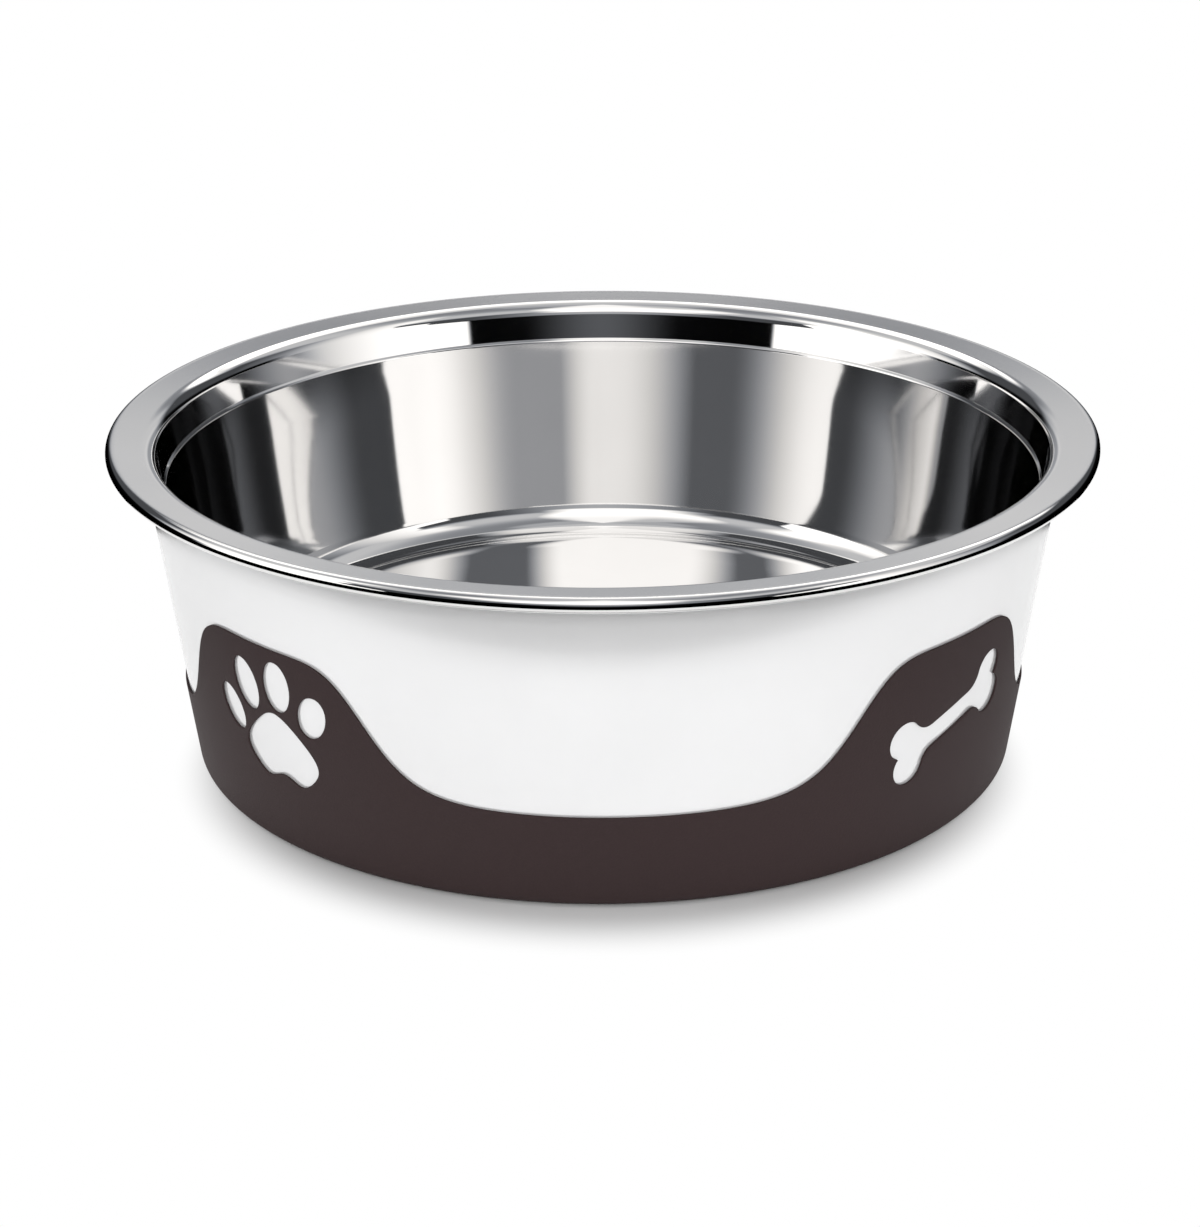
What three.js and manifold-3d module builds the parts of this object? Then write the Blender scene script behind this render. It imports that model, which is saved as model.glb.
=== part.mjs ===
// Dog bowl: a double-walled stainless steel bowl with a rubber grip skirt and a rubber foot ring.
// Units are millimetres, +Z is up, the bowl stands on z = 0 and its front faces -Y.
import * as THREE from "three";
import { mergeVertices } from "three/addons/utils/BufferGeometryUtils.js";
import Module from "manifold-3d";

const wasm = await Module();
wasm.setup();

// Overall size
const RIM_RADIUS = 105;
const HEIGHT = 70.7;

// Sheet and rubber thicknesses, and the gap left between neighbouring pieces
const BOWL_SHEET = 0.8;
const SHELL_SHEET = 0.6;
const SKIRT_RUBBER = 0.45;
const GAP = 0.3;
const BOND_GAP = 0.12;

// Rim of the inner bowl: rolled edge, flat flange dished towards the food, rounded shoulder
const BEAD_RADIUS = 1.55;
const FLANGE_WIDTH = 8.2;
const FLANGE_DISH = 0.8;
const SHOULDER_ROUND = 3;
const CURL_REACH = 3.2;

// Inside of the inner bowl: neck, small ledge, wall that bends inwards half way down, cove and flat floor
const WALL_SPACE = 3.5;
const NECK_DEPTH = 9.6;
const NECK_LEDGE = 0.5;
const UPPER_TAPER = 0.15;
const LOWER_TAPER = 0.24;
const BEND_SHARE = 0.5;
const COVE_ROUND = 7.6;
const FLOOR_HEIGHT = 16.1;

// Outside of the outer shell: a cone that narrows by SHELL_TAPER for each millimetre below the rim
const RIM_OVERHANG = 7.1;
const SHELL_TAPER = 0.14;
const SHELL_BASE = 0.9;
const SHELL_CORNER = 1.2;
const SHELL_TOP_ROUND = 1.5;
const SHELL_FLANGE_END = 2.2;

// Foot ring and the channel that holds it
const FOOT_INSET = 17;
const FOOT_WIDTH = 10;
const FOOT_HEIGHT = 3.2;
const FOOT_ROUND = 0.8;
const CHANNEL_ROUND = 1;

// Rubber skirt: where it ends under the base, and its wavy top edge
const SKIRT_UNDER = 9;
const WAVE_LOW = 20.5;
const WAVE_HIGH = 46.5;
const SIDE_DROP = 3;
const LOBE_ANGLE = 47.1;
const LOBE_HALF_WIDTH = 17;
const LOBE_POWER = 6;
const SKIRT_TURN = 1.1;

// Paw window: a pad and four toes fanned on an arc about the pad's centre
const PAW_HEIGHT = 22.85;
const PAW_SHIFT = 2.25;
const PAD_HALF_WIDTH = 10.8;
const PAD_TOP = 9;
const PAD_BOTTOM = 6.2;
const PAD_NOTCH = 1.2;
const PAD_SHOULDER = [0.72, 0.47];
const PAD_LOBE = [0.55, 0.2];
const TOE_ARC = 15.5;
const TOE_SPACING = 37;
const TOE_TURN = 11;
const TOE_LEAN = 0.5;
const INNER_TOE = [3.85, 5.75];
const OUTER_TOE = [3.5, 5.1];

// Bone window: a shaft with two round knobs at each end
const BONE_HEIGHT = 28.1;
const BONE_TILT = 17;
const BONE_HALF_LENGTH = 13.4;
const BONE_KNOB = 4.1;
const BONE_KNOB_OFFSET = 3.3;
const BONE_SHAFT = 2.65;
const BONE_FILLET = 4;
const BONE_SHIFT = 0.6;

// Fineness: steps round the bowl, and how far a drawn arc may stray from the true one
const TURN_STEPS = 60;
const WAVE_STEPS = 120;
const CHORD_ERROR = 0.08;

const rad = THREE.MathUtils.degToRad;

// Outer radius of the steel shell at a height
const shellRadius = (z) => RIM_RADIUS - RIM_OVERHANG - SHELL_TAPER * (HEIGHT - z);

// A line through corners [r, z, rounding], with each rounded corner drawn as an arc
function rounded(corners) {
  const points = [];
  corners.forEach(([r, z, round], i) => {
    const here = new THREE.Vector2(r, z);
    if (!round) {
      points.push(here);
      return;
    }
    const before = new THREE.Vector2(...corners[i - 1]).sub(here).normalize();
    const after = new THREE.Vector2(...corners[i + 1]).sub(here).normalize();
    const half = Math.acos(THREE.MathUtils.clamp(before.dot(after), -1, 1)) / 2;
    const centre = before.clone().add(after).setLength(round / Math.sin(half)).add(here);
    const start = before.multiplyScalar(round / Math.tan(half)).add(here).sub(centre);
    const end = after.multiplyScalar(round / Math.tan(half)).add(here).sub(centre);
    const sweep = Math.atan2(start.cross(end), start.dot(end));
    const step = 2 * Math.acos(1 - CHORD_ERROR / Math.max(round, 2 * CHORD_ERROR));
    const steps = Math.max(2, Math.ceil(Math.abs(sweep) / step));
    for (let k = 0; k <= steps; k++) {
      const along = start.clone().rotateAround(new THREE.Vector2(), (sweep * k) / steps);
      points.push(along.add(centre));
    }
  });
  return points.filter((p, i) => i === 0 || p.distanceTo(points[i - 1]) > 1e-6);
}

// The closed outline of a sheet of even thickness along a middle line
function sheet(middle, thickness) {
  const across = middle.slice(1).map((p, i) => {
    const along = p.clone().sub(middle[i]).normalize();
    return new THREE.Vector2(along.y, -along.x);
  });
  const side = (distance) =>
    middle.map((p, i) => {
      const before = across[Math.max(i - 1, 0)];
      const after = across[Math.min(i, across.length - 1)];
      const mitre = before.clone().add(after).divideScalar(1 + before.dot(after));
      return mitre.multiplyScalar(distance).add(p);
    });
  return [...side(thickness / 2), ...side(-thickness / 2).reverse()];
}

// A solid turned about Z from an outline of radius and height
function turned(outline, steps = TURN_STEPS) {
  const onAxis = outline[0].x === 0;
  const loop = onAxis ? outline : [...outline, outline[0]];
  return new THREE.LatheGeometry(loop, steps).rotateX(Math.PI / 2);
}

function solid(geometry) {
  const plain = new THREE.BufferGeometry();
  plain.setAttribute("position", geometry.getAttribute("position"));
  plain.setIndex(geometry.index);
  const merged = mergeVertices(plain, 1e-4);
  return new wasm.Manifold(
    new wasm.Mesh({
      numProp: 3,
      vertProperties: merged.getAttribute("position").array,
      triVerts: new Uint32Array(merged.index.array),
    }),
  );
}

function geometryOf(manifold) {
  const mesh = manifold.getMesh();
  const geometry = new THREE.BufferGeometry();
  geometry.setAttribute("position", new THREE.BufferAttribute(mesh.vertProperties, 3));
  geometry.setIndex(new THREE.BufferAttribute(mesh.triVerts, 1));
  return geometry;
}

// Inner bowl: one sheet from the middle of the floor out to the end of the rolled edge
const half = BOWL_SHEET / 2;
const flangeOuter = RIM_RADIUS - BEAD_RADIUS;
const flangeInner = flangeOuter - FLANGE_WIDTH;
const neckHeight = HEIGHT - NECK_DEPTH;
const neckRadius = shellRadius(neckHeight) - WALL_SPACE;
const halfWall = (neckHeight - FLOOR_HEIGHT) / 2;
const bendRadius = neckRadius - UPPER_TAPER * halfWall;
const bendAngle = Math.atan(LOWER_TAPER) - Math.atan(UPPER_TAPER);
const bendRound = (BEND_SHARE * halfWall) / Math.tan(bendAngle / 2);
const coveRadius = bendRadius - LOWER_TAPER * halfWall;
const curlHeight = HEIGHT - 2 * BEAD_RADIUS + half;
const bowlLine = rounded([
  [0, FLOOR_HEIGHT],
  [coveRadius, FLOOR_HEIGHT, COVE_ROUND],
  [bendRadius, FLOOR_HEIGHT + halfWall, bendRound],
  [neckRadius, neckHeight],
  [neckRadius + NECK_LEDGE, neckHeight + NECK_LEDGE],
  [flangeInner, HEIGHT - half - FLANGE_DISH, SHOULDER_ROUND],
  [flangeOuter, HEIGHT - half],
  [RIM_RADIUS - half, HEIGHT - half, BEAD_RADIUS - half],
  [RIM_RADIUS - half, curlHeight, BEAD_RADIUS - half],
  [RIM_RADIUS - CURL_REACH - BEAD_RADIUS, curlHeight],
]);

// Outer shell: its top flange runs under the bowl's flange into the rolled edge
const shellHalf = SHELL_SHEET / 2;
const flangeSlope = FLANGE_DISH / FLANGE_WIDTH;
const underFlange = (r) =>
  HEIGHT - BOWL_SHEET - GAP - shellHalf - flangeSlope * (flangeOuter - r);
const flangeEnd = RIM_RADIUS - SHELL_FLANGE_END;
const shellTop = underFlange(flangeInner);
const shellTopRadius = shellRadius(shellTop) - shellHalf;
const baseLine = SHELL_BASE + shellHalf;
const channelTop = FOOT_HEIGHT + GAP + shellHalf;
const footRadius = shellRadius(0);
const footOuter = footRadius - FOOT_INSET;
const footInner = footOuter - FOOT_WIDTH;
const channelInner = footInner - GAP - shellHalf;
const channelOuter = footOuter + GAP + shellHalf;
const shellLine = rounded([
  [0, baseLine],
  [channelInner, baseLine, CHANNEL_ROUND],
  [channelInner, channelTop, CHANNEL_ROUND],
  [channelOuter, channelTop, CHANNEL_ROUND],
  [channelOuter, baseLine, CHANNEL_ROUND],
  [shellRadius(baseLine) - shellHalf, baseLine, SHELL_CORNER],
  [shellTopRadius, shellTop, SHELL_TOP_ROUND],
  [flangeEnd, underFlange(flangeEnd)],
]);

// Rubber skirt: turned up to the crests, then let down to the wave between them
const skirtOffset = BOND_GAP + SKIRT_RUBBER / 2;
const skirtBase = SHELL_BASE - skirtOffset;
const skirtCorner = SHELL_CORNER + shellHalf + skirtOffset;
const skirtStart = skirtBase + skirtCorner;
const skirtLine = [
  ...rounded([
    [footRadius - SKIRT_UNDER, skirtBase],
    [shellRadius(skirtBase) + skirtOffset, skirtBase, skirtCorner],
    [shellRadius(skirtStart) + skirtOffset, skirtStart],
  ]),
  new THREE.Vector2(shellRadius(WAVE_HIGH) + skirtOffset, WAVE_HIGH),
];
const PLACES = [-LOBE_ANGLE, LOBE_ANGLE, 180 - LOBE_ANGLE, 180 + LOBE_ANGLE];
const LOBES = PLACES.map((place) => place + SKIRT_TURN);

// Height of the wavy edge at an angle from the front: its valleys are lower at the sides
function waveHeight(angle) {
  let rise = 0;
  for (const lobe of LOBES) {
    const away = THREE.MathUtils.euclideanModulo(angle - lobe + 180, 360) - 180;
    rise += 1 / (1 + (away / LOBE_HALF_WIDTH) ** LOBE_POWER);
  }
  const valley = WAVE_LOW - SIDE_DROP * Math.sin(rad(angle - SKIRT_TURN)) ** 4;
  return valley + (WAVE_HIGH - valley) * rise;
}

function wavySkirt() {
  const geometry = turned(sheet(skirtLine, SKIRT_RUBBER), WAVE_STEPS);
  const position = geometry.getAttribute("position");
  for (let i = 0; i < position.count; i++) {
    const x = position.getX(i);
    const y = position.getY(i);
    const z = position.getZ(i);
    if (z <= skirtStart) continue;
    const angle = THREE.MathUtils.radToDeg(Math.atan2(x, -y));
    const share = (z - skirtStart) / (WAVE_HIGH - skirtStart);
    const low = skirtStart + share * (waveHeight(angle) - skirtStart);
    const radius = Math.hypot(x, y);
    const scale = (radius - SHELL_TAPER * (z - low)) / radius;
    position.setXYZ(i, x * scale, y * scale, low);
  }
  return geometry;
}

// Paw and bone outlines about their own centres, x along the wall and y up
function ellipse(x, y, [across, along], lean) {
  return new THREE.Shape().absellipse(x, y, across, along, 0, 2 * Math.PI, false, rad(lean));
}

function pawShapes() {
  const flank = [
    [PAD_SHOULDER[0] * PAD_HALF_WIDTH, PAD_SHOULDER[1] * PAD_TOP],
    [PAD_HALF_WIDTH, -PAD_LOBE[1] * PAD_BOTTOM],
    [PAD_LOBE[0] * PAD_HALF_WIDTH, -PAD_BOTTOM],
  ];
  const other = flank.map(([x, y]) => [-x, y]).reverse();
  const pad = [[0, PAD_TOP], ...flank, [0, PAD_NOTCH - PAD_BOTTOM], ...other];
  const knots = pad.map(([x, y]) => new THREE.Vector3(x, y, 0));
  const curve = new THREE.CatmullRomCurve3(knots, true, "centripetal").getPoints(32).slice(0, -1);
  const outline = curve.map((p) => new THREE.Vector2(p.x, p.y));
  const toes = [-1.5, -0.5, 0.5, 1.5].map((place) => {
    const fan = TOE_SPACING * place;
    const from = rad(90 + TOE_TURN - fan);
    const size = Math.abs(place) > 1 ? OUTER_TOE : INNER_TOE;
    return ellipse(TOE_ARC * Math.cos(from), TOE_ARC * Math.sin(from), size, -TOE_LEAN * fan);
  });
  return [new THREE.Shape(outline), ...toes];
}

// A quarter of the bone from the shaft to the end notch, mirrored into the other three
function boneShapes() {
  const reach = BONE_KNOB + BONE_FILLET;
  const rise = BONE_SHAFT + BONE_FILLET - BONE_KNOB_OFFSET;
  const fillet = BONE_HALF_LENGTH - Math.sqrt(reach ** 2 - rise ** 2);
  const meet = Math.atan2(rise, fillet - BONE_HALF_LENGTH);
  const notch = -Math.asin(BONE_KNOB_OFFSET / BONE_KNOB);
  const side = new THREE.Path();
  side.absarc(fillet, BONE_SHAFT + BONE_FILLET, BONE_FILLET, -Math.PI / 2, meet - Math.PI, false);
  side.absarc(BONE_HALF_LENGTH, BONE_KNOB_OFFSET, BONE_KNOB, meet, notch, true);
  const quarter = side.getPoints(6).slice(0, -1);
  const end = new THREE.Vector2(BONE_HALF_LENGTH + BONE_KNOB * Math.cos(notch), 0);
  const mirrored = (x, y) => quarter.map((p) => new THREE.Vector2(x * p.x, y * p.y));
  const outline = [
    ...mirrored(1, 1),
    end,
    ...mirrored(1, -1).reverse(),
    ...mirrored(-1, -1),
    end.clone().negate(),
    ...mirrored(-1, 1).reverse(),
  ];
  return [new THREE.Shape(outline)];
}

// A window cutter: the shapes pushed through the wall at an angle from the front
function windowAt(shapes, angle, [shift, lift, tilt]) {
  const depth = 12;
  const cutters = shapes.map((shape) => {
    const block = new THREE.ExtrudeGeometry(shape, { depth, bevelEnabled: false, curveSegments: 10 });
    block.rotateZ(rad(tilt)).translate(shift, lift, -depth / 2);
    block.rotateX(Math.PI / 2).translate(0, -shellRadius(WAVE_LOW), 0).rotateZ(rad(angle));
    return solid(block);
  });
  return cutters.reduce((all, next) => all.add(next));
}

let skirt = solid(wavySkirt());
LOBES.forEach((angle, i) => {
  const paw = i % 2 === 0;
  const cutter = paw
    ? windowAt(pawShapes(), angle, [PAW_SHIFT, PAW_HEIGHT, 0])
    : windowAt(boneShapes(), angle, [BONE_SHIFT, BONE_HEIGHT, BONE_TILT]);
  skirt = skirt.subtract(cutter);
});

// Foot ring: a band with rounded edges, standing on the floor
const footMiddle = (footInner + footOuter) / 2;
const footLine = rounded([
  [footMiddle, 0],
  [footOuter, 0, FOOT_ROUND],
  [footOuter, FOOT_HEIGHT, FOOT_ROUND],
  [footInner, FOOT_HEIGHT, FOOT_ROUND],
  [footInner, 0, FOOT_ROUND],
  [footMiddle, 0],
]).slice(0, -1);

const part = new THREE.Group();
part.name = "dog_bowl";

function addPiece(name, geometry, color, roughness, metalness) {
  geometry.computeVertexNormals();
  const mesh = new THREE.Mesh(geometry, new THREE.MeshStandardMaterial({ color, roughness, metalness }));
  mesh.name = name;
  part.add(mesh);
}

addPiece("inner_bowl", turned(sheet(bowlLine, BOWL_SHEET)), 0xd4d5d6, 0.12, 1);
addPiece("outer_shell", turned(sheet(shellLine, SHELL_SHEET)), 0xd9dadb, 0.28, 1);
addPiece("grip_skirt", geometryOf(skirt), 0x40373a, 0.85, 0);
addPiece("foot_ring", turned(footLine), 0x262324, 0.9, 0);

export default part;
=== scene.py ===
# %% [markdown]
# # A steel dog bowl with a rubber skirt
# The bowl is two steel pressings and two pieces of rubber. The packed CAD part is the fixed frame: each
# piece below is made again with finer curves, in the same place and at the same size, and stands for its
# CAD node.

# %% Load the frame
import math

import bmesh
import bpy
import numpy as np
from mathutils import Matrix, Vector
from mathutils.geometry import delaunay_2d_cdt


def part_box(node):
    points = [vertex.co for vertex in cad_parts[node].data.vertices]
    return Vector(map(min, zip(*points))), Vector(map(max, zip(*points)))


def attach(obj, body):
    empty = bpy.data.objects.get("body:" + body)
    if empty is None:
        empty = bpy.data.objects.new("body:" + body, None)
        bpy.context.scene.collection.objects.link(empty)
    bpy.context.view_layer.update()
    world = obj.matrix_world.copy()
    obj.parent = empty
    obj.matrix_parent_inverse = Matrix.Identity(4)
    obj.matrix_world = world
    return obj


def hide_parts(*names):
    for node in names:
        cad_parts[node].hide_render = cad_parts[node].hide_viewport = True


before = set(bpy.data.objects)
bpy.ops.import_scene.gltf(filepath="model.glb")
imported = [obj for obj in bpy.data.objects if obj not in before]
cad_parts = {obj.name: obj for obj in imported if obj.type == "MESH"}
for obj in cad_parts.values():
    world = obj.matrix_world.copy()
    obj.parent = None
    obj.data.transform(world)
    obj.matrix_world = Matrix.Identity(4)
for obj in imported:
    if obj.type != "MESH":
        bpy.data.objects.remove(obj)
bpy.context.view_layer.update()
MM = 0.001
print("CAD nodes:", sorted(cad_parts))
for node in sorted(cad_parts):
    low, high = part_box(node)
    print(node, [round(v / MM, 1) for v in (high - low)], "mm")

# %% [markdown]
# ## Turned pieces
# Every steel piece here is spun or pressed round one axis, so one outline of radius and height describes
# it. A pressed sheet is simpler still: a middle line with rounded corners, and a thickness. The Screw
# modifier could turn the outline too, but plain mesh code leaves the number of steps and the pole at the
# axis in our hands.

# %% A line with rounded corners
TINY = 1e-6
WIDE_ROUND = 20.0
STRAIGHT_RUN = 1.0
GUARD = 0.08


def corner_arc(corner, before, after, radius, step):
    """Points on the arc that rounds a corner between two directions, one for each step in degrees."""
    half = math.acos(max(-1.0, min(1.0, before.dot(after)))) / 2
    centre = corner + (before + after).normalized() * (radius / math.sin(half))
    start = corner + before * (radius / math.tan(half)) - centre
    end = corner + after * (radius / math.tan(half)) - centre
    sweep = math.atan2(start.x * end.y - start.y * end.x, start.dot(end))
    fewest = 8 if radius > WIDE_ROUND else 4
    steps = max(fewest, math.ceil(abs(math.degrees(sweep)) / step))
    turns = [(math.cos(sweep * k / steps), math.sin(sweep * k / steps)) for k in range(steps + 1)]
    return [centre + Vector((c * start.x - s * start.y, s * start.x + c * start.y)) for c, s in turns]


def rounded(corners, step=6):
    """Points along a line through corners (r, z, rounding), in mm, with an arc at each rounded corner."""
    line = []
    for i, (r, z, *rounding) in enumerate(corners):
        here = Vector((r, z))
        arc = [here]
        if rounding:
            before = (Vector(corners[i - 1][:2]) - here).normalized()
            after = (Vector(corners[i + 1][:2]) - here).normalized()
            arc = corner_arc(here, before, after, rounding[0], step)
        run = arc[0] - line[-1] if line else Vector((0, 0))
        if run.length > STRAIGHT_RUN:
            # A point close to each end of a straight run keeps its shading straight.
            line += [line[-1] + run.normalized() * GUARD, arc[0] - run.normalized() * GUARD]
        line += arc[1:] if line and run.length < TINY else arc
    return line


bent = rounded([(0, 0), (10, 0, 5), (10, 10)])
print("A square corner rounded by 5 mm takes", len(bent), "points")


# %% A sheet along a line
def sheet_outline(middle, thickness):
    """Both faces of a sheet of even thickness, as one line from the start round the end and back."""
    across = []
    for a, b in zip(middle, middle[1:]):
        along = (b - a).normalized()
        across.append(Vector((along.y, -along.x)))
    faces = []
    for side in (0.5, -0.5):
        face = []
        for i, p in enumerate(middle):
            one, two = across[max(i - 1, 0)], across[min(i, len(across) - 1)]
            face.append(p + (one + two) / (1 + one.dot(two)) * (side * thickness))
        faces.append(face)
    return faces[0] + faces[1][::-1]


print("A sheet bent along it takes", len(sheet_outline(bent, 1.0)))

# %% Turn an outline about the axis
TURN_STEPS = 256
SHARP_ANGLE = math.radians(35)


def put_in_scene(name, work):
    """A smooth-shaded object made of a mesh in work."""
    mesh = bpy.data.meshes.new(name)
    work.to_mesh(mesh)
    work.free()
    mesh.shade_smooth()
    thing = bpy.data.objects.new(name, mesh)
    bpy.context.scene.collection.objects.link(thing)
    return thing


def turned(name, outline, closed=False):
    """An outline, in mm, turned about Z. A closed outline makes a ring round the axis."""
    work = bmesh.new()
    turns = [2 * math.pi * k / TURN_STEPS for k in range(TURN_STEPS)]
    rings = []
    for r, z in outline:
        around = [0.0] if abs(r) < TINY else turns
        rings.append([work.verts.new((r * MM * math.cos(a), r * MM * math.sin(a), z * MM)) for a in around])
    pairs = list(zip(rings, rings[1:]))
    if closed:
        pairs.append((rings[-1], rings[0]))
    for one, two in pairs:
        for k in range(TURN_STEPS):
            n = (k + 1) % TURN_STEPS
            if len(one) == 1:
                work.faces.new((one[0], two[n], two[k]))
            elif len(two) == 1:
                work.faces.new((one[k], one[n], two[0]))
            else:
                work.faces.new((one[k], one[n], two[n], two[k]))
    bmesh.ops.recalc_face_normals(work, faces=work.faces)
    piece = put_in_scene(name, work)
    piece.data.set_sharp_from_angle(angle=SHARP_ANGLE)
    return piece


print("One turn takes", TURN_STEPS, "steps")


# %% Stand a piece in for its CAD node
def stands_for(piece, node):
    """The piece rides the part's one body and is shown in place of its CAD node."""
    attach(piece, "root")
    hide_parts(node)
    print(piece.name, "has", len(piece.data.polygons), "faces and stands for", node)


print("Nodes to stand in for:", len(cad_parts))

# %% [markdown]
# ## The inner bowl
# One sheet of steel runs from the middle of the floor to the end of the rolled edge: a flat floor, a
# cove, a wall that bends a little on its way up, a small ledge, the neck, the rounded shoulder, the flat
# rim and the roll. A subdivision surface would round it with less code, but polished steel shows every
# kink, so each arc is written out as an arc.

# %% Inner bowl
RIM_RADIUS = 105.0
HEIGHT = 70.7
BOWL_SHEET = 0.8
BEAD_RADIUS = 1.55
BEAD_LEAD = 0.3
CURL_REACH = 3.2
FLANGE_WIDTH = 8.2
FLANGE_DISH = 0.8
SHOULDER_ROUND = 3.0
NECK_RADIUS = 93.06
NECK_HEIGHT = 61.1
NECK_LEDGE = 0.5
LEDGE_LOW_ROUND, LEDGE_HIGH_ROUND = 0.42, 0.5
UPPER_TAPER, LOWER_TAPER = 0.15, 0.24
BEND_SHARE = 0.6
COVE_ROUND = 7.6
FLOOR_HEIGHT = 16.1

half = BOWL_SHEET / 2
flange_outer = RIM_RADIUS - BEAD_RADIUS
flange_inner = flange_outer - FLANGE_WIDTH
half_wall = (NECK_HEIGHT - FLOOR_HEIGHT) / 2
bend_radius = NECK_RADIUS - UPPER_TAPER * half_wall
bend_angle = math.atan(LOWER_TAPER) - math.atan(UPPER_TAPER)
bend_round = BEND_SHARE * half_wall / math.tan(bend_angle / 2)
cove_radius = bend_radius - LOWER_TAPER * half_wall
roll = BEAD_RADIUS - half
curl_height = HEIGHT - 2 * BEAD_RADIUS + half
bowl_line = rounded(
    [
        (0, FLOOR_HEIGHT),
        (cove_radius, FLOOR_HEIGHT, COVE_ROUND),
        (bend_radius, FLOOR_HEIGHT + half_wall, bend_round),
        (NECK_RADIUS, NECK_HEIGHT, LEDGE_LOW_ROUND),
        (NECK_RADIUS + NECK_LEDGE, NECK_HEIGHT + NECK_LEDGE, LEDGE_HIGH_ROUND),
        (flange_inner, HEIGHT - half - FLANGE_DISH, SHOULDER_ROUND),
        (flange_outer - BEAD_LEAD, HEIGHT - half),
        (RIM_RADIUS - half, HEIGHT - half, roll),
        (RIM_RADIUS - half, curl_height, roll),
        (RIM_RADIUS - BEAD_RADIUS - CURL_REACH, curl_height),
    ]
)
inner_bowl = turned("polished_bowl", sheet_outline(bowl_line, BOWL_SHEET))
stands_for(inner_bowl, "inner_bowl")

# %% [markdown]
# ## The outer shell
# The shell is a second, plainer pressing. Its top flange is caught in the rolled edge, its wall is a
# straight taper, and a channel in its base holds the foot ring. A cone with a bevel would do for the wall
# alone, but the same turned sheet gives the flange and the channel too.

# %% Outer shell
SHELL_SHEET = 0.6
SHELL_FOOT_RADIUS = 88.0
SHELL_TAPER = 0.14
SHELL_BASE = 0.9
SHELL_CORNER = 1.2
SHELL_TOP_ROUND = 1.5
SHELL_FLANGE_END = 2.2
CHANNEL_ROUND = 1.0
GAP = 0.3
FOOT_INNER, FOOT_OUTER, FOOT_HEIGHT = 61.0, 71.0, 3.2

shell_half = SHELL_SHEET / 2
flange_slope = FLANGE_DISH / FLANGE_WIDTH


def shell_radius(z):
    """Outer radius of the steel shell at a height, in mm."""
    return SHELL_FOOT_RADIUS + SHELL_TAPER * z


def under_flange(r):
    """Height of the shell's flange where it runs under the bowl's flange."""
    return HEIGHT - BOWL_SHEET - GAP - shell_half - flange_slope * (flange_outer - r)


base_line = SHELL_BASE + shell_half
channel_top = FOOT_HEIGHT + GAP + shell_half
channel_in, channel_out = FOOT_INNER - GAP - shell_half, FOOT_OUTER + GAP + shell_half
shell_top = under_flange(flange_inner)
flange_end = RIM_RADIUS - SHELL_FLANGE_END
shell_line = rounded(
    [
        (0, base_line),
        (channel_in, base_line, CHANNEL_ROUND),
        (channel_in, channel_top, CHANNEL_ROUND),
        (channel_out, channel_top, CHANNEL_ROUND),
        (channel_out, base_line, CHANNEL_ROUND),
        (shell_radius(base_line) - shell_half, base_line, SHELL_CORNER),
        (shell_radius(shell_top) - shell_half, shell_top, SHELL_TOP_ROUND),
        (flange_end, under_flange(flange_end)),
    ]
)
outer_shell = turned("satin_shell", sheet_outline(shell_line, SHELL_SHEET))
stands_for(outer_shell, "outer_shell")

# %% [markdown]
# ## The foot ring
# A ring of black rubber sits in the channel of the base and keeps the bowl from sliding. It is out of
# sight from above, so it stays a plain ring with rounded corners. Its outline closes on itself, so it is
# turned as a ring with no pole.

# %% Foot ring
FOOT_ROUND = 0.8

middle = (FOOT_INNER + FOOT_OUTER) / 2
foot_outline = rounded(
    [
        (middle, 0),
        (FOOT_OUTER, 0, FOOT_ROUND),
        (FOOT_OUTER, FOOT_HEIGHT, FOOT_ROUND),
        (FOOT_INNER, FOOT_HEIGHT, FOOT_ROUND),
        (FOOT_INNER, 0, FOOT_ROUND),
        (middle, 0),
    ],
    step=12,
)[:-1]
foot_ring = turned("foot_ring_rubber", foot_outline, closed=True)
stands_for(foot_ring, "foot_ring")

# %% [markdown]
# ## The rubber skirt
# The skirt is a thin moulding that follows the shell. Its wavy edge rises in four lobes, each with a paw
# or a bone cut through it, and it sits about a degree to the right of the front. It is drawn flat first,
# as a maker would draw the mould: along the wall one way and up it the other, in mm, with the edge and
# the windows as outlines. A Delaunay triangulation fills the drawing, and each point is then wrapped onto
# the wall. A Boolean cut would work too, but it leaves long thin faces that shade badly on a curved wall.

# %% The wavy edge
WAVE_LOW, WAVE_HIGH = 20.5, 46.5
SIDE_DROP = 3.0
LOBE_ANGLE, LOBE_HALF_WIDTH, LOBE_POWER = 47.1, 17.0, 6
SKIRT_TURN = 1.1
LOBES = [SKIRT_TURN + place for place in (-LOBE_ANGLE, LOBE_ANGLE, 180 - LOBE_ANGLE, LOBE_ANGLE - 180)]


def wave_height(angle):
    """Height of the edge at an angle from the front, in degrees. Its valleys are lower at the sides."""
    rise = 0.0
    for lobe in LOBES:
        away = (angle - lobe + 180) % 360 - 180
        rise += 1 / (1 + (away / LOBE_HALF_WIDTH) ** LOBE_POWER)
    valley = WAVE_LOW - SIDE_DROP * math.sin(math.radians(angle - SKIRT_TURN)) ** 4
    return valley + (WAVE_HIGH - valley) * rise


print("The edge is at", [round(wave_height(a), 1) for a in (0, 45, 90)], "mm at 0, 45 and 90 degrees")


# %% Ovals and smooth loops
def oval(x, y, across, along, lean, count=40):
    """An ellipse about (x, y), leaning by an angle in degrees."""
    c, s = math.cos(math.radians(lean)), math.sin(math.radians(lean))
    turns = [2 * math.pi * k / count for k in range(count)]
    upright = [(across * math.cos(t), along * math.sin(t)) for t in turns]
    return [(x + c * u - s * v, y + s * u + c * v) for u, v in upright]


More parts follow.
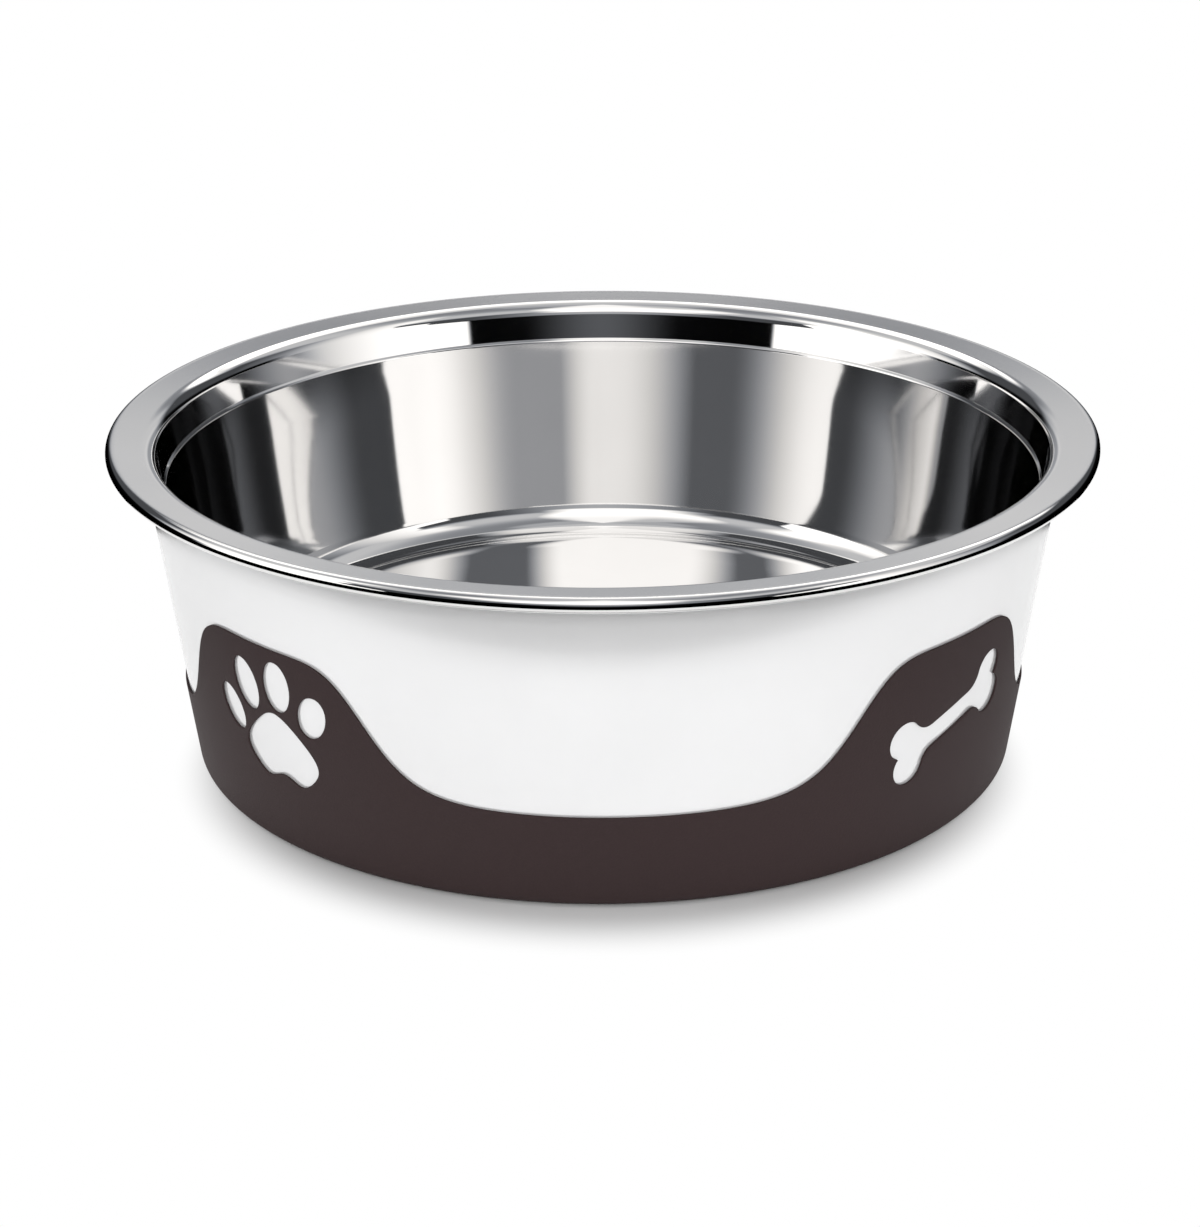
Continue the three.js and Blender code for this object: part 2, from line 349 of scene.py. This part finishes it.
def smooth_loop(knots, count=12):
    """A closed curve through knots, by the Catmull-Rom rule."""
    loop = []
    for i in range(len(knots)):
        a, b, c, d = [np.array(knots[(i + k) % len(knots)], float) for k in (-1, 0, 1, 2)]
        for k in range(count):
            t = k / count
            bend = (2 * a - 5 * b + 4 * c - d) * t * t + (3 * b - a - 3 * c + d) * t**3
            loop.append(tuple(b + 0.5 * ((c - a) * t + bend)))
    return loop


print("An oval takes", len(oval(0, 0, 3, 5, 0)), "points")

# %% Paw
PAD_TOP, PAD_NOTCH = (0, 9.0), (0, -5.0)
PAD_FLANK = [(7.8, 4.2), (10.8, -1.2), (5.9, -6.2)]
TOE_ARC, TOE_SPACING, TOE_TURN, TOE_LEAN = 15.5, 37, 11, 0.5
INNER_TOE, OUTER_TOE = (3.85, 5.75), (3.5, 5.1)


def paw():
    """A pad and four toes fanned about its centre, as five loops."""
    other_flank = [(-x, y) for x, y in reversed(PAD_FLANK)]
    loops = [smooth_loop([PAD_TOP, *PAD_FLANK, PAD_NOTCH, *other_flank])]
    for place in (-1.5, -0.5, 0.5, 1.5):
        fan = TOE_SPACING * place
        turn = math.radians(90 + TOE_TURN - fan)
        size = OUTER_TOE if abs(place) > 1 else INNER_TOE
        loops.append(oval(TOE_ARC * math.cos(turn), TOE_ARC * math.sin(turn), *size, -TOE_LEAN * fan))
    return loops


print("A paw takes", [len(loop) for loop in paw()], "points")

# %% Bone
BONE_HALF_LENGTH, BONE_KNOB, BONE_KNOB_OFFSET = 13.4, 4.1, 3.3
BONE_SHAFT, BONE_FILLET = 2.65, 4.0
FLARE_STEPS, KNOB_STEPS = 10, 24


def on_circle(x, y, radius, turns):
    """Points on a circle about (x, y)."""
    return [(x + radius * math.cos(t), y + radius * math.sin(t)) for t in turns]


def bone():
    """A shaft that flares into two round knobs at each end, mirrored from one quarter."""
    rise = BONE_SHAFT + BONE_FILLET - BONE_KNOB_OFFSET
    flare_start = BONE_HALF_LENGTH - math.sqrt((BONE_KNOB + BONE_FILLET) ** 2 - rise**2)
    meet = math.atan2(rise, flare_start - BONE_HALF_LENGTH)
    notch = -math.asin(BONE_KNOB_OFFSET / BONE_KNOB)
    flare = [-math.pi / 2 + (meet - math.pi / 2) * k / FLARE_STEPS for k in range(FLARE_STEPS + 1)]
    knob = [meet + (notch - meet) * k / KNOB_STEPS for k in range(1, KNOB_STEPS)]
    quarter = on_circle(flare_start, BONE_SHAFT + BONE_FILLET, BONE_FILLET, flare)
    quarter += on_circle(BONE_HALF_LENGTH, BONE_KNOB_OFFSET, BONE_KNOB, knob)
    tip = BONE_HALF_LENGTH + BONE_KNOB * math.cos(notch)
    right = quarter + [(tip, 0.0)] + [(u, -v) for u, v in reversed(quarter)]
    left = [(-u, -v) for u, v in quarter] + [(-tip, 0.0)] + [(-u, v) for u, v in reversed(quarter)]
    return right + left


print("A bone takes", len(bone()), "points")

# %% Place the windows
PAW_SHIFT, PAW_HEIGHT = 2.25, 22.85
BONE_SHIFT, BONE_HEIGHT, BONE_TILT = 0.6, 28.1, 17.0
TRUE_WIDTH_HEIGHT = 25.0

flat_radius = shell_radius(TRUE_WIDTH_HEIGHT)
degree = math.radians(1) * flat_radius


def placed(loop, lobe, shift, lift, tilt=0.0):
    """A loop tilted, lifted and moved along the wall to its lobe."""
    c, s = math.cos(math.radians(tilt)), math.sin(math.radians(tilt))
    along = lobe * degree + shift
    return [(along + c * u - s * v, lift + s * u + c * v) for u, v in loop]


windows = []
for i, lobe in enumerate(LOBES):
    if i % 2 == 0:
        windows += [placed(loop, lobe, PAW_SHIFT, PAW_HEIGHT) for loop in paw()]
    else:
        windows.append(placed(bone(), lobe, BONE_SHIFT, BONE_HEIGHT, BONE_TILT))
print(len(windows), "windows in", len(LOBES), "lobes")

# %% From the drawing to the wall
SKIRT_RUBBER = 0.45
BOND_GAP = 0.12
SKIRT_UNDER = 9.0

skirt_face = BOND_GAP + SKIRT_RUBBER
skirt_base = SHELL_BASE - skirt_face
skirt_corner = SHELL_CORNER + shell_half + skirt_face
# The last three points lie on the straight wall, which is followed by its height instead.
*under, _, _, _ = rounded(
    [
        (SHELL_FOOT_RADIUS - SKIRT_UNDER, skirt_base),
        (shell_radius(skirt_base) + skirt_face, skirt_base, skirt_corner),
        (shell_radius(NECK_HEIGHT) + skirt_face, NECK_HEIGHT),
    ],
    step=10,
)
wall_start = under[-1]
lengths = [0.0]
for a, b in zip(under, under[1:]):
    lengths.append(lengths[-1] + (b - a).length)
# Below the wall the drawing goes on downwards by the length round the corner.
flat_levels = [wall_start.y - (lengths[-1] - d) for d in lengths]


def wrapped(x, y):
    """The place in space, in metres, of a point of the flat drawing."""
    angle = x / flat_radius
    if y >= wall_start.y:
        r, z = shell_radius(y) + skirt_face, y
    else:
        r = float(np.interp(y, flat_levels, [p.x for p in under]))
        z = float(np.interp(y, flat_levels, [p.y for p in under]))
    return Vector((r * math.sin(angle), -r * math.cos(angle), z)) * MM


print("Under the base the drawing is", round(lengths[-1], 1), "mm long")

# %% The border of the drawing
WAVE_STEPS = 480
SEAM_ROWS = 8

wave_angles = np.linspace(-180, 180, WAVE_STEPS + 1)
top_edge = [(a * degree, wave_height(a)) for a in wave_angles]
columns = [a * degree for a in wave_angles[::2]]
seam_rows = np.linspace(wall_start.y, WAVE_LOW, SEAM_ROWS)[:-1]
right_side = [(180 * degree, y) for y in [*flat_levels[1:-1], *seam_rows]]
left_side = [(-180 * degree, y) for _, y in right_side]
bottom_edge = [(x, flat_levels[0]) for x in columns]
border = bottom_edge + right_side + top_edge[::-1] + left_side[::-1]
print("The border takes", len(border), "points")


# %% Points that lie in the rubber
def inside(points, loop):
    """Which points lie inside a closed loop, by counting the edges that a ray crosses."""
    x, y = points[:, 0], points[:, 1]
    found = np.zeros(len(points), bool)
    for (x0, y0), (x1, y1) in zip(loop, loop[1:] + loop[:1]):
        if y0 == y1:
            continue
        crosses = (y0 > y) != (y1 > y)
        found ^= crosses & (x < (x1 - x0) * (y - y0) / (y1 - y0) + x0)
    return found


def in_rubber(points):
    """Which points lie inside the border and outside every window."""
    found = inside(points, border)
    for loop in windows:
        found &= ~inside(points, loop)
    return found


print("The foot of the paw's lobe is rubber:", bool(in_rubber(np.array([(LOBES[0] * degree, 8.0)]))[0]))

# %% Fill the drawing
ROW_STEP = 2.2
EDGE_CLEARANCE = 0.7

rows = [*flat_levels[1:], *np.arange(wall_start.y + ROW_STEP, WAVE_HIGH, ROW_STEP)]
fill = np.array([(x, y) for x in columns[1:-1] for y in rows])
near = np.zeros(len(fill), bool)
for x, y in top_edge + [p for loop in windows for p in loop]:
    near |= (fill[:, 0] - x) ** 2 + (fill[:, 1] - y) ** 2 < EDGE_CLEARANCE**2
fill = fill[in_rubber(fill) & ~near]
print(len(fill), "points fill the drawing")

# %% Join the points into faces
SAME_POINT = 1e-5

points, lines = [], []
for loop in [border, *windows]:
    first = len(points)
    points += loop
    lines += [(first + k, first + (k + 1) % len(loop)) for k in range(len(loop))]
points += [tuple(p) for p in fill]
verts, _, faces, *_ = delaunay_2d_cdt([Vector(p) for p in points], lines, [], 0, SAME_POINT)
flat = np.array([tuple(v) for v in verts])
centres = np.array([flat[list(face)].mean(0) for face in faces])
rubber_faces = [face for face, kept in zip(faces, in_rubber(centres)) if kept]
print(len(rubber_faces), "of", len(faces), "faces are rubber")

# %% Wrap the drawing onto the wall
SEAM_CLOSED = 2e-6

work = bmesh.new()
corners = [work.verts.new(wrapped(x, y)) for x, y in flat]
for face in rubber_faces:
    work.faces.new([corners[k] for k in face])
bmesh.ops.delete(work, geom=[v for v in work.verts if not v.link_faces], context="VERTS")
bmesh.ops.remove_doubles(work, verts=work.verts, dist=SEAM_CLOSED)
bmesh.ops.recalc_face_normals(work, faces=work.faces)
top_face = max(work.faces, key=lambda f: f.calc_center_median().z)
if top_face.normal.dot(top_face.calc_center_median()) < 0:
    bmesh.ops.reverse_faces(work, faces=work.faces)
skirt = put_in_scene("rubber_skirt", work)
print("The skirt is", [round(v / MM, 1) for v in skirt.dimensions], "mm")

# %% Thickness and soft edges
SOFT_EDGE = 0.14
EDGE_ANGLE = math.radians(50)

thicken = skirt.modifiers.new("thickness", "SOLIDIFY")
thicken.thickness = SKIRT_RUBBER * MM
thicken.offset = -1
soften = skirt.modifiers.new("soft edges", "BEVEL")
soften.width = SOFT_EDGE * MM
soften.segments = 2
soften.limit_method = "ANGLE"
soften.angle_limit = EDGE_ANGLE
skirt.modifiers.new("even shading", "WEIGHTED_NORMAL")
stands_for(skirt, "grip_skirt")

# %% [markdown]
# ## Writing finishes as sums
# A shader is a graph of nodes, but the thought behind it is usually a line of arithmetic. This small
# class wraps one output of a node, so that Python's own operators add the Math nodes, and a Finish makes
# every other node.


# %% Sums on sockets
class Value:
    """One socket of a shader graph that Python can do sums with."""

    def __init__(self, finish, socket):
        self.finish, self.socket = finish, socket

    def sum(self, operation, one, two):
        return self.finish.node("ShaderNodeMath", {"operation": operation}, {0: one, 1: two})

    def __add__(self, other):
        return self.sum("ADD", self, other)

    def __sub__(self, other):
        return self.sum("SUBTRACT", self, other)

    def __rsub__(self, other):
        return self.sum("SUBTRACT", other, self)

    def __mul__(self, other):
        return self.sum("MULTIPLY", self, other)

    __radd__, __rmul__ = __add__, __mul__


print("Sums with a number on the left:", [name for name in vars(Value) if name.startswith("__r")])


# %% Finishes
class Finish:
    """A material, or the world, whose nodes are made by one method."""

    def __init__(self, owner):
        owner.use_nodes = True
        self.owner, self.tree = owner, owner.node_tree
        self.tree.nodes.clear()

    def node(self, kind, settings=None, sockets=None, out=0):
        """A new node: its settings first, then the values or links of its sockets."""
        made = self.tree.nodes.new(kind)
        for name, value in (settings or {}).items():
            setattr(made, name, value)
        for name, value in (sockets or {}).items():
            if isinstance(value, Value):
                self.tree.links.new(value.socket, made.inputs[name])
            else:
                made.inputs[name].default_value = value
        return Value(self, made.outputs[out]) if made.outputs else None

    def outputs(self, value, *names):
        """Several outputs of the node that a value comes from."""
        return [Value(self, value.socket.node.outputs[name]) for name in names]

    def mix(self, factor, one, two):
        return self.node("ShaderNodeMix", {"data_type": "RGBA"}, {0: factor, 6: one, 7: two}, out=2)

    def smooth(self, value, low, high, start=0.0, end=1.0):
        """A value eased from start to end as it goes from low to high."""
        settings = {"interpolation_type": "SMOOTHSTEP"}
        return self.node("ShaderNodeMapRange", settings, {0: value, 1: low, 2: high, 3: start, 4: end})

    def noise(self, vector, scale, detail=2.0, roughness=0.5):
        sockets = {"Vector": vector, "Scale": scale, "Detail": detail, "Roughness": roughness}
        return self.node("ShaderNodeTexNoise", None, sockets)

    def bump(self, height, distance):
        return self.node("ShaderNodeBump", None, {"Height": height, "Distance": distance, "Strength": 1.0})

    def surface(self, shader):
        """Link the shader to the output, and give back the material or the world."""
        in_world = isinstance(self.owner, bpy.types.World)
        kind = "ShaderNodeOutputWorld" if in_world else "ShaderNodeOutputMaterial"
        self.node(kind, None, {"Surface": shader})
        print(self.owner.name, "is made of", len(self.tree.nodes), "nodes")
        return self.owner


def grey(level):
    return (level, level, level, 1.0)


def shaded(colour, share):
    return (*[c * share for c in colour], 1.0)


print("A finish can make:", [name for name in vars(Finish) if not name.startswith("_")])

# %% [markdown]
# ## Steel
# The steel is spun, so its scratches run round the axis. They blur a reflection up and down but leave it
# sharp from side to side, which is what draws the tall bright and dark strips inside the bowl. The
# shader's anisotropy does that, a noise that varies only with radius and height gives the fine rings left
# by the spinning tool, and a broad noise gives the uneven polish. A picture of brushed metal would be
# quicker, but it shows its seams on a round piece. The flat rim is brushed a little duller than the
# inside, and the outer shell is a pale satin.

# %% Steel finishes
RING_SCALE, PATCH_SCALE = 900.0, 22.0
PATCH_EDGE, PATCH_SHADE = (0.35, 0.7), 0.965
RING_ROUGHNESS, PATCH_ROUGHNESS = 0.5, 0.25
RIM_START, RIM_END = (0.0962, 0.0976), (0.1036, 0.1042)
RIM_ROUGHNESS = 0.12
QUARTER_TURN = 0.25


def steel(name, colour, roughness, anisotropy, grain, metal=1.0, satin_rim=False):
    """Spun steel, with grain as the depth of its rings in metres."""
    finish = Finish(bpy.data.materials.new(name))
    place = finish.node("ShaderNodeTexCoord", out=3)
    split = finish.node("ShaderNodeSeparateXYZ", None, {0: place})
    x, y, z = finish.outputs(split, "X", "Y", "Z")
    radius = finish.node("ShaderNodeMath", {"operation": "SQRT"}, {0: x * x + y * y})
    rings = finish.node("ShaderNodeCombineXYZ", None, {0: radius, 1: z})
    fine = finish.noise(rings, RING_SCALE, detail=2.0)
    patches = finish.noise(place, PATCH_SCALE, detail=3.0)
    clean = finish.smooth(patches, *PATCH_EDGE)
    uneven = (patches - 0.5) * (PATCH_ROUGHNESS * roughness)
    rough = roughness + uneven + (fine - 0.5) * (RING_ROUGHNESS * roughness)
    if satin_rim:
        on_rim = finish.smooth(radius, *RIM_START) * finish.smooth(radius, *RIM_END, 1, 0)
        rough = rough + on_rim * (RIM_ROUGHNESS - roughness)
    sockets = {
        "Base Color": finish.mix(clean, shaded(colour, PATCH_SHADE), shaded(colour, 1)),
        "Metallic": metal,
        "Roughness": rough,
        "Anisotropic": anisotropy,
        "Anisotropic Rotation": QUARTER_TURN,
        "Normal": finish.bump(fine, grain),
    }
    return finish.surface(finish.node("ShaderNodeBsdfPrincipled", None, sockets))


polished = steel("polished spun steel", (0.82, 0.815, 0.81), 0.045, 0.4, 8e-8, satin_rim=True)
inner_bowl.data.materials.append(polished)
satin = steel("satin steel", (0.95, 0.95, 0.955), 0.14, 0.3, 2e-8, metal=0.36)
outer_shell.data.materials.append(satin)

# %% [markdown]
# ## Rubber
# The skirt is matte and finely grained, a dark brown that is nearly black in shade. A fine noise gives
# the grain, in colour and in bump, and a broad one keeps large areas from looking printed. Modelled grain
# would need millions of faces, and at this size it is only seen as a soft sheen.

# %% Rubber finishes
GRAIN_SCALE, BLOTCH_SCALE = 2200.0, 30.0
GRAIN_SHARE, BLOTCH_SHARE = 0.6, 0.4
BLOTCH_ROUGHNESS = 0.12
RUBBER_SPECULAR = 0.35


def rubber(name, colour, roughness, grain):
    """Matte rubber, with grain as its depth in metres."""
    finish = Finish(bpy.data.materials.new(name))
    place = finish.node("ShaderNodeTexCoord", out=3)
    fine = finish.noise(place, GRAIN_SCALE, detail=3.0, roughness=0.7)
    broad = finish.noise(place, BLOTCH_SCALE, detail=3.0)
    mottled = fine * GRAIN_SHARE + broad * BLOTCH_SHARE
    sockets = {
        "Base Color": finish.mix(mottled, shaded(colour, 0.8), shaded(colour, 1.2)),
        "Roughness": roughness + (broad - 0.5) * BLOTCH_ROUGHNESS,
        "Specular IOR Level": RUBBER_SPECULAR,
        "Normal": finish.bump(fine, grain),
    }
    return finish.surface(finish.node("ShaderNodeBsdfPrincipled", None, sockets))


skirt.data.materials.append(rubber("brown skirt rubber", (0.0375, 0.0225, 0.023), 0.72, 6e-5))
foot_ring.data.materials.append(rubber("black foot rubber", (0.02, 0.018, 0.018), 0.8, 8e-5))

# %% [markdown]
# ## The floor
# The bowl stands on white paper. The camera sees the paper as plain white, apart from the soft shadow
# round the foot, where a matte finish catches the lamps' light. The steel sees a white sheet too, and the
# dark studio beyond its edge: that edge draws the grey band on the shell under the rim. A shadow catcher
# would need a compositor, so Light Path tells the two kinds of ray apart instead.

# %% Floor
FLOOR_RADIUS, FLOOR_STEPS = 0.60, 128

work = bmesh.new()
bmesh.ops.create_circle(work, cap_ends=True, segments=FLOOR_STEPS, radius=FLOOR_RADIUS)
floor = put_in_scene("floor", work)
print("The floor is", round(2 * FLOOR_RADIUS, 2), "m across")

# %% Paper
PAPER_GREY = 0.8
SHADOW_EDGE = (0.075, 0.093)
SHADOW_SHIFT = (0.0, 0.016, 0.0)
SHEET_EDGE = (0.164, 0.168)
SHEET_STRETCH = (0.9, 1.0, 1.0)

paper = Finish(bpy.data.materials.new("white paper"))
by_camera, by_steel = paper.outputs(paper.node("ShaderNodeLightPath"), "Is Camera Ray", "Is Glossy Ray")
spot = paper.node("ShaderNodeTexCoord", out=3)
stretched = paper.node("ShaderNodeVectorMath", {"operation": "MULTIPLY"}, {0: spot, 1: SHEET_STRETCH})
on_sheet = paper.node("ShaderNodeVectorMath", {"operation": "LENGTH"}, {0: stretched}, out=1)
shifted = paper.node("ShaderNodeVectorMath", {"operation": "ADD"}, {0: spot, 1: SHADOW_SHIFT})
from_foot = paper.node("ShaderNodeVectorMath", {"operation": "LENGTH"}, {0: shifted}, out=1)
matte = paper.node("ShaderNodeBsdfDiffuse", None, {"Color": grey(PAPER_GREY)})
dark = paper.node("ShaderNodeEmission", None, {"Color": grey(0.0), "Strength": 0.0})
white = paper.node("ShaderNodeEmission", None, {"Color": grey(1.0), "Strength": 1.0})
shown_white = by_camera + by_steel * paper.smooth(on_sheet, *SHEET_EDGE, 1.0, 0.0)
sheet = paper.node("ShaderNodeMixShader", None, {0: shown_white, 1: dark, 2: white})
clear = (by_camera + by_steel) * paper.smooth(from_foot, *SHADOW_EDGE)
paper_shader = paper.node("ShaderNodeMixShader", None, {0: clear, 1: matte, 2: sheet})
floor.data.materials.append(paper.surface(paper_shader))

# %% [markdown]
# ## The studio that the steel reflects
# Polished steel has hardly a look of its own: what shows in it is the room. The world is therefore drawn
# as a small photo studio, by the direction in which a ray leaves: turn is its bearing in degrees, 0 at
# the back and plus to the right, and dz its height, from 0 at the horizon to 1 overhead. A panel stands
# at the back, a soft box at each side, a pair of panels at the front corners, and a frame hangs overhead.
# An HDR picture is the usual way, but drawn edges stay sharp and can be moved one at a time.
#
# Each edge is one call of ease: the value that it follows, where the edge starts and ends, and the
# brightness there. Steel takes some of the light at each bounce, so Light Path's count of bounces matters
# too. The flat rim and the neck show the room once, the wall shows it twice, by way of the opposite wall,
# and the far corners of the bowl show it many times over and are nearly black.

# %% Bearing, height and bounces
studio = Finish(bpy.data.worlds.new("studio"))
bpy.context.scene.world = studio.owner
studio.owner.cycles.sampling_method = "NONE"
ease = studio.smooth
light_path = studio.node("ShaderNodeLightPath")
to_camera, to_steel, depth = studio.outputs(light_path, "Is Camera Ray", "Is Glossy Ray", "Ray Depth")
direction = studio.node("ShaderNodeSeparateXYZ", None, {0: studio.node("ShaderNodeTexCoord", out=0)})
dx, dy, dz = studio.outputs(direction, "X", "Y", "Z")
turn = studio.node("ShaderNodeMath", {"operation": "ARCTAN2"}, {0: dx, 1: dy}) * math.degrees(1)
facing = studio.node("ShaderNodeMath", {"operation": "ABSOLUTE"}, {0: turn})
# The count takes in the step out to the world, so a ray that bounced once has a depth of 2.
once = ease(depth, 2, 3, 1, 0)
thrice = ease(depth, 3, 4)
many = ease(depth, 4, 5)


def brighter(one, two):
    return studio.node("ShaderNodeMath", {"operation": "MAXIMUM"}, {0: one, 1: two})


print("Studio bearings run from -180 to 180 degrees, with 0 at the back")

# %% Back panel
BACK_LEFT, BACK_RIGHT, BACK_TOP = (-36, -4), (10, 62), (0.56, 0.64)
HORIZON = (-0.03, 0.03)

band = ease(dz, 0.12, 0.27, 1.9, 1) + ease(dz, 0.46, 0.51, 0, 0.9)
back = ease(turn, *BACK_LEFT, 0, 1.2) * ease(turn, *BACK_RIGHT, 1, 0) * band * ease(dz, *BACK_TOP, 1, 0)
# The rim, which shows the panel once, sees only its middle, and a darker stripe across it.
stripe = ease(dz, 0.33, 0.43, 0.56, 0.24) + ease(dz, 0.47, 0.54, 0, 0.76)
from_rim = stripe * ease(dz, 0.14, 0.25, 0.3, 1) * ease(facing, 16, 28, 1, ease(dz, 0.42, 0.52))
back = back * (1 - once * (1 - from_rim)) * ease(dz, *HORIZON)
print("The back panel spans", BACK_LEFT[0], "to", BACK_RIGHT[1], "degrees")

# %% Side boxes
LEFT_START, RIGHT_END, CRISP = -120.5, 130, 1.5
MIDDLE = (-6, 6)

spread = ease(dz, 0.12, 0.26, 12.5, 0)
blur = ease(dz, 0.5, 0.75, 0, 12)
left_edge = ease(turn + spread - ease(dz, 0.5, 0.62, 0, 6), LEFT_START - blur, LEFT_START + CRISP + blur)
left = left_edge * ease(turn, -96, -46, 1.56, 0.46) * ease(turn, *MIDDLE, 1, 0)
reach = spread - ease(dz, 0.37, 0.47, 0, 13) * ease(dz, 0.58, 0.68, 1, 0.15)
right_edge = ease(turn - reach, RIGHT_END - blur * 1.4, RIGHT_END + CRISP + blur * 0.6, 1, 0)
right = right_edge * ease(turn, 70, 128, 0.15, 1.45) * ease(turn, *MIDDLE)
box_top = ease(dz, 0.76, 0.93, 1, 0.2) * ease(dz, 0.0, 0.05)
corner = 1 - ease(dz, 0.58, 0.72, 0, 0.9) * ease(facing, 80, 95, 1, 0) * (1 - once * 0.6)
sides = (left + right) * box_top * corner * (1 - once * ease(facing, 50, 74, 1, 0))
print("The left box starts at", LEFT_START, "degrees and the right box ends at", RIGHT_END)

# %% Front panels and the overhead frame
FRONT_LEFT, FRONT_RIGHT = (-164, -138), (154, 172)

lean = ease(dz, 0.55, 0.87, 0, 26)
front_left = ease(turn - lean, *FRONT_LEFT, 1, 0)
front_right = ease(turn + lean * 0.4, *FRONT_RIGHT)
front = brighter(front_left, front_right) * ease(dz, 0.41, 0.52, 0, 1.4)
above = brighter(front, ease(facing, 40, 48, 1, 0) * ease(dz, 0.5, 0.64, 0, 1.4))
above = brighter(above, ease(dz, 0.95, 0.985, 0, 1.1))
above = brighter(above, once * ease(dz, 0.5, 0.66, 0, 0.65))
# The middle of the frame is dimmer, so that the flat floor and rim keep their form when seen from above.
above = above * (1 - once * ease(dz, 0.76, 0.96, 0, 0.55) * ease(facing, 150, 170, 1, 0.3))
print("The front panels fade between", FRONT_LEFT, "and", FRONT_RIGHT, "degrees")

# %% Put the studio together
SOFT_FILL = 0.25
COOL, WARM = (0.88, 0.92, 1.0, 1.0), (1.0, 0.985, 0.97, 1.0)

front_glow = ease(facing, 140, 180, 0.08, 0.5) * ease(dz, 0.13, 0.25)
glow = brighter(front_glow, ease(facing, 158, 180, 0.002, 0.12)) * ease(dz, -0.05, 0.0)
dim = ease(dz, 0.45, 0.6, 0, 0.17) * ease(facing, 85, 110)
near_floor = brighter(ease(facing, 20, 32, 1, 0), ease(facing, 78, 88))
panels = brighter(back, sides) * ease(dz, 0.15, 0.25, near_floor, 1)
room = brighter(brighter(panels, above), brighter(glow, dim))
room = room * (1 - thrice * ease(facing, 118, 128, 0, 0.65)) * (1 - many * 0.9)
strength = to_camera + to_steel * room + (1 - to_camera) * (1 - to_steel) * SOFT_FILL
tint = studio.mix(ease(room, 0.1, 1.0), COOL, WARM)
colour = studio.mix(to_steel, grey(1.0), tint)
studio.surface(studio.node("ShaderNodeBackground", None, {"Color": colour, "Strength": strength}))

# %% [markdown]
# ## Lamps and camera
# The studio above lights only what is seen in the steel. Four soft lamps light the rubber, the satin
# shell and the floor at a plain level, and are hidden from the steel, which would show them as hard
# squares. The camera was found by fitting the rim, the wall and the base to the photograph, so its
# numbers are not round.

# %% Lamps
LAMP_AIM = Vector((0, 0, 0.03))


def soft_box(name, place, size, power):
    """A square lamp, in metres and watts, that points at the bowl."""
    lamp = bpy.data.lights.new(name, "AREA")
    lamp.shape = "SQUARE"
    lamp.size = size
    lamp.energy = power
    lamp_object = bpy.data.objects.new(name, lamp)
    lamp_object.location = place
    lamp_object.rotation_euler = (LAMP_AIM - Vector(place)).to_track_quat("-Z", "Y").to_euler()
    lamp_object.visible_glossy = False
    lamp_object.visible_camera = False
    bpy.context.scene.collection.objects.link(lamp_object)
    print("Lamp", name, "of", power, "W")


soft_box("overhead", (0.0, 0.0, 1.0), 0.8, 4.0)
soft_box("front", (0.0, -0.95, 0.48), 0.35, 4.6)
soft_box("left", (-0.8, -0.35, 0.5), 0.5, 1.2)
soft_box("right", (0.8, -0.35, 0.5), 0.5, 1.2)

# %% Camera
FRAME_HEIGHT = 1227.0
FOCAL_PIXELS = 2985.0
SHIFT_PIXELS = -3.4
SENSOR = 36.0
CAMERA_PLACE = (0.0, -0.6069, 0.2671)
CAMERA_DIP, CAMERA_ROLL = 21.62, -0.25

camera_data = bpy.data.cameras.new("camera")
camera_data.sensor_width = SENSOR
camera_data.lens = FOCAL_PIXELS * SENSOR / FRAME_HEIGHT
camera_data.shift_x = SHIFT_PIXELS / FRAME_HEIGHT
camera = bpy.data.objects.new("camera", camera_data)
camera.location = CAMERA_PLACE
camera.rotation_euler = (math.radians(90 - CAMERA_DIP), 0.0, 0.0)
camera.rotation_euler.rotate_axis("Z", math.radians(CAMERA_ROLL))
bpy.context.scene.collection.objects.link(camera)
bpy.context.scene.camera = camera
bpy.context.scene.view_settings.view_transform = "Standard"
print("Lens of", round(camera_data.lens, 1), "mm at", [round(v, 3) for v in camera.location])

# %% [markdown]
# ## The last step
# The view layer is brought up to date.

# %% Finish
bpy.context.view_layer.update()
